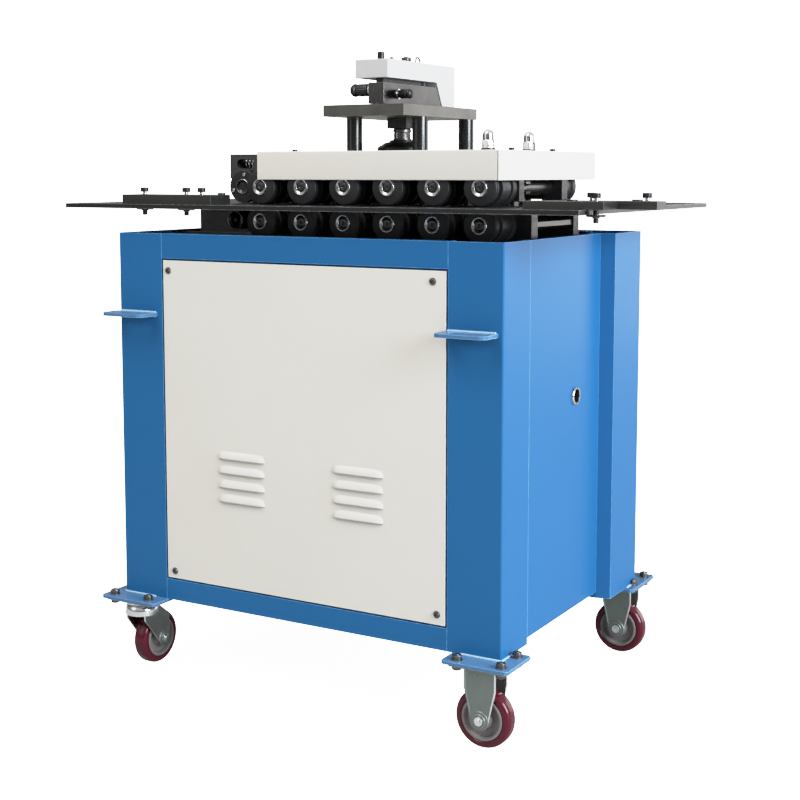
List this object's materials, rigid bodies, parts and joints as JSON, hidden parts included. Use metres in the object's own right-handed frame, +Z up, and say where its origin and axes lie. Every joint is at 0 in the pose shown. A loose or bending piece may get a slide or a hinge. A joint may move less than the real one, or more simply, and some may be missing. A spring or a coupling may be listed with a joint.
{
  "type": "duct lock former",
  "caption": "Roll-forming machine on casters that folds a lock seam on duct sheet, with guides, a table and a flanging head on top.",
  "frame": {"origin": "on the floor, below the middle of the outline's box", "axes": "+X along the feed to the right, +Y from the front to the back, +Z up"},
  "size_m": [1.131, 0.6996, 1.1435],
  "materials": {
    "blue_paint": "gloss enamel",
    "cream_paint": "satin enamel",
    "table_steel": "ground plate",
    "ground_steel": "turned and oiled",
    "plate_steel": "milled",
    "gear_steel": "cut and oiled",
    "black_steel": "blackened",
    "bright_steel": "plated",
    "zinc_steel": "zinc plated",
    "dark_plate": "grey enamel",
    "arm_paint": "light enamel",
    "tyre": "moulded",
    "motor_paint": "hammered enamel",
    "chain_steel": "oiled"
  },
  "bodies": {
    "machine": {"front_posts": "blue_paint", "rear_posts": "blue_paint", "frame_rails": "blue_paint", "side_skins": "blue_paint", "lifting_ears": "blue_paint", "caster_pads": "blue_paint", "front_panel": "cream_paint", "rear_panel": "cream_paint", "roll_cover": "cream_paint", "floor_pan": "zinc_steel", "rigid_forks": "zinc_steel", "swivel_heads": "zinc_steel", "table_plate": "table_steel", "lower_front_plate": "plate_steel", "lower_rear_plate": "plate_steel", "upper_front_plate": "plate_steel", "upper_rear_plate": "plate_steel", "bed_beams": "plate_steel", "plate_spacers": "bright_steel", "acorn_nuts": "bright_steel", "arm_fasteners": "bright_steel", "flanging_posts": "bright_steel", "window_spring": "bright_steel", "flanging_plate": "dark_plate", "flanging_arm": "arm_paint", "gear_motor": "motor_paint", "drive_chain": "chain_steel"},
    "swivel_front_left": {"swivel_yoke_front_left": "zinc_steel"},
    "wheel_front_left": {"wheel_front_left": "tyre"},
    "swivel_rear_left": {"swivel_yoke_rear_left": "zinc_steel"},
    "wheel_rear_left": {"wheel_rear_left": "tyre"},
    "wheel_front_right": {"wheel_front_right": "tyre"},
    "wheel_rear_right": {"wheel_rear_right": "tyre"},
    "drive_shaft": {"drive_shaft": "gear_steel"},
    "entry_shaft": {"entry_shaft": "gear_steel"},
    "idler_gear_1": {"idler_gear_1": "gear_steel"},
    "lower_roll_1": {"lower_roll_shaft_1": "ground_steel"},
    "upper_roll_1": {"upper_roll_shaft_1": "ground_steel"},
    "idler_gear_2": {"idler_gear_2": "gear_steel"},
    "lower_roll_2": {"lower_roll_shaft_2": "ground_steel"},
    "upper_roll_2": {"upper_roll_shaft_2": "ground_steel"},
    "idler_gear_3": {"idler_gear_3": "gear_steel"},
    "lower_roll_3": {"lower_roll_shaft_3": "ground_steel"},
    "upper_roll_3": {"upper_roll_shaft_3": "ground_steel"},
    "idler_gear_4": {"idler_gear_4": "gear_steel"},
    "lower_roll_4": {"lower_roll_shaft_4": "ground_steel"},
    "upper_roll_4": {"upper_roll_shaft_4": "ground_steel"},
    "idler_gear_5": {"idler_gear_5": "gear_steel"},
    "lower_roll_5": {"lower_roll_shaft_5": "ground_steel"},
    "upper_roll_5": {"upper_roll_shaft_5": "ground_steel"},
    "idler_gear_6": {"idler_gear_6": "gear_steel"},
    "lower_roll_6": {"lower_roll_shaft_6": "ground_steel"},
    "upper_roll_6": {"upper_roll_shaft_6": "ground_steel"},
    "motor_sprocket": {"motor_sprocket": "gear_steel"},
    "flanging_spindle": {"flanging_spindle": "bright_steel"},
    "flanging_lever": {"flanging_lever": "black_steel"},
    "left_guide": {"left_guide": "black_steel"},
    "right_guide": {"right_guide": "black_steel"}
  },
  "joints": [
    {"name": "swivel_front_left", "type": "hinge", "parent": "machine", "child": "swivel_front_left", "pos_m": [-0.4195, -0.27525, 0.115], "axis": [0, 0, 1], "continuous": true},
    {"name": "wheel_front_left_spin", "type": "hinge", "parent": "swivel_front_left", "child": "wheel_front_left", "pos_m": [-0.4195, -0.23825, 0.05], "axis": [1, 0, 0], "continuous": true},
    {"name": "swivel_rear_left", "type": "hinge", "parent": "machine", "child": "swivel_rear_left", "pos_m": [-0.4505, 0.26275, 0.115], "axis": [0, 0, 1], "continuous": true},
    {"name": "wheel_rear_left_spin", "type": "hinge", "parent": "swivel_rear_left", "child": "wheel_rear_left", "pos_m": [-0.4505, 0.29975, 0.05], "axis": [1, 0, 0], "continuous": true},
    {"name": "wheel_front_right_spin", "type": "hinge", "parent": "machine", "child": "wheel_front_right", "pos_m": [0.3125, -0.28925, 0.05], "axis": [0, 1, 0], "continuous": true},
    {"name": "wheel_rear_right_spin", "type": "hinge", "parent": "machine", "child": "wheel_rear_right", "pos_m": [0.3315, 0.26275, 0.05], "axis": [0, 1, 0], "continuous": true},
    {"name": "drive_spin", "type": "hinge", "parent": "machine", "child": "drive_shaft", "pos_m": [-0.2715, -0.09025, 0.8454], "axis": [0, 1, 0], "continuous": true},
    {"name": "entry_spin", "type": "hinge", "parent": "machine", "child": "entry_shaft", "pos_m": [-0.2715, -0.09025, 0.9072], "axis": [0, 1, 0], "continuous": true},
    {"name": "idler_1_spin", "type": "hinge", "parent": "machine", "child": "idler_gear_1", "pos_m": [-0.2275, -0.09025, 0.8014], "axis": [0, 1, 0], "continuous": true},
    {"name": "lower_roll_1_spin", "type": "hinge", "parent": "machine", "child": "lower_roll_1", "pos_m": [-0.1835, -0.09025, 0.8454], "axis": [0, 1, 0], "continuous": true},
    {"name": "upper_roll_1_spin", "type": "hinge", "parent": "machine", "child": "upper_roll_1", "pos_m": [-0.1835, -0.09025, 0.9072], "axis": [0, 1, 0], "continuous": true},
    {"name": "idler_2_spin", "type": "hinge", "parent": "machine", "child": "idler_gear_2", "pos_m": [-0.1395, -0.09025, 0.8014], "axis": [0, 1, 0], "continuous": true},
    {"name": "lower_roll_2_spin", "type": "hinge", "parent": "machine", "child": "lower_roll_2", "pos_m": [-0.0955, -0.09025, 0.8454], "axis": [0, 1, 0], "continuous": true},
    {"name": "upper_roll_2_spin", "type": "hinge", "parent": "machine", "child": "upper_roll_2", "pos_m": [-0.0955, -0.09025, 0.9072], "axis": [0, 1, 0], "continuous": true},
    {"name": "idler_3_spin", "type": "hinge", "parent": "machine", "child": "idler_gear_3", "pos_m": [-0.0515, -0.09025, 0.8014], "axis": [0, 1, 0], "continuous": true},
    {"name": "lower_roll_3_spin", "type": "hinge", "parent": "machine", "child": "lower_roll_3", "pos_m": [-0.0075, -0.09025, 0.8454], "axis": [0, 1, 0], "continuous": true},
    {"name": "upper_roll_3_spin", "type": "hinge", "parent": "machine", "child": "upper_roll_3", "pos_m": [-0.0075, -0.09025, 0.9072], "axis": [0, 1, 0], "continuous": true},
    {"name": "idler_4_spin", "type": "hinge", "parent": "machine", "child": "idler_gear_4", "pos_m": [0.0365, -0.09025, 0.8014], "axis": [0, 1, 0], "continuous": true},
    {"name": "lower_roll_4_spin", "type": "hinge", "parent": "machine", "child": "lower_roll_4", "pos_m": [0.0805, -0.09025, 0.8454], "axis": [0, 1, 0], "continuous": true},
    {"name": "upper_roll_4_spin", "type": "hinge", "parent": "machine", "child": "upper_roll_4", "pos_m": [0.0805, -0.09025, 0.9072], "axis": [0, 1, 0], "continuous": true},
    {"name": "idler_5_spin", "type": "hinge", "parent": "machine", "child": "idler_gear_5", "pos_m": [0.1245, -0.09025, 0.8014], "axis": [0, 1, 0], "continuous": true},
    {"name": "lower_roll_5_spin", "type": "hinge", "parent": "machine", "child": "lower_roll_5", "pos_m": [0.1685, -0.09025, 0.8454], "axis": [0, 1, 0], "continuous": true},
    {"name": "upper_roll_5_spin", "type": "hinge", "parent": "machine", "child": "upper_roll_5", "pos_m": [0.1685, -0.09025, 0.9072], "axis": [0, 1, 0], "continuous": true},
    {"name": "idler_6_spin", "type": "hinge", "parent": "machine", "child": "idler_gear_6", "pos_m": [0.2125, -0.09025, 0.8014], "axis": [0, 1, 0], "continuous": true},
    {"name": "lower_roll_6_spin", "type": "hinge", "parent": "machine", "child": "lower_roll_6", "pos_m": [0.2565, -0.09025, 0.8454], "axis": [0, 1, 0], "continuous": true},
    {"name": "upper_roll_6_spin", "type": "hinge", "parent": "machine", "child": "upper_roll_6", "pos_m": [0.2565, -0.09025, 0.9072], "axis": [0, 1, 0], "continuous": true},
    {"name": "motor_sprocket_spin", "type": "hinge", "parent": "machine", "child": "motor_sprocket", "pos_m": [-0.2715, -0.07625, 0.3], "axis": [0, 1, 0], "continuous": true},
    {"name": "spindle_spin", "type": "hinge", "parent": "machine", "child": "flanging_spindle", "pos_m": [0.02, -0.05375, 1], "axis": [0, 0, 1], "continuous": true},
    {"name": "lever_swing", "type": "hinge", "parent": "machine", "child": "flanging_lever", "pos_m": [0.042, -0.01625, 1.069], "axis": [0, 0, 1], "range_deg": [-8, 8]},
    {"name": "left_guide_slide", "type": "slide", "parent": "machine", "child": "left_guide", "axis": [0, 1, 0], "range_m": [-0.006, 0.006]},
    {"name": "right_guide_slide", "type": "slide", "parent": "machine", "child": "right_guide", "axis": [0, 1, 0], "range_m": [-0.006, 0.006]}
  ],
  "couplings": [
    {"joint": "entry_spin", "follows": "drive_spin", "ratio": -1},
    {"joint": "idler_1_spin", "follows": "drive_spin", "ratio": -1},
    {"joint": "lower_roll_1_spin", "follows": "drive_spin", "ratio": 1},
    {"joint": "upper_roll_1_spin", "follows": "drive_spin", "ratio": -1},
    {"joint": "idler_2_spin", "follows": "drive_spin", "ratio": -1},
    {"joint": "lower_roll_2_spin", "follows": "drive_spin", "ratio": 1},
    {"joint": "upper_roll_2_spin", "follows": "drive_spin", "ratio": -1},
    {"joint": "idler_3_spin", "follows": "drive_spin", "ratio": -1},
    {"joint": "lower_roll_3_spin", "follows": "drive_spin", "ratio": 1},
    {"joint": "upper_roll_3_spin", "follows": "drive_spin", "ratio": -1},
    {"joint": "idler_4_spin", "follows": "drive_spin", "ratio": -1},
    {"joint": "lower_roll_4_spin", "follows": "drive_spin", "ratio": 1},
    {"joint": "upper_roll_4_spin", "follows": "drive_spin", "ratio": -1},
    {"joint": "idler_5_spin", "follows": "drive_spin", "ratio": -1},
    {"joint": "lower_roll_5_spin", "follows": "drive_spin", "ratio": 1},
    {"joint": "upper_roll_5_spin", "follows": "drive_spin", "ratio": -1},
    {"joint": "idler_6_spin", "follows": "drive_spin", "ratio": -1},
    {"joint": "lower_roll_6_spin", "follows": "drive_spin", "ratio": 1},
    {"joint": "upper_roll_6_spin", "follows": "drive_spin", "ratio": -1},
    {"joint": "motor_sprocket_spin", "follows": "drive_spin", "ratio": 1},
    {"joint": "spindle_spin", "follows": "drive_spin", "ratio": 1}
  ]
}
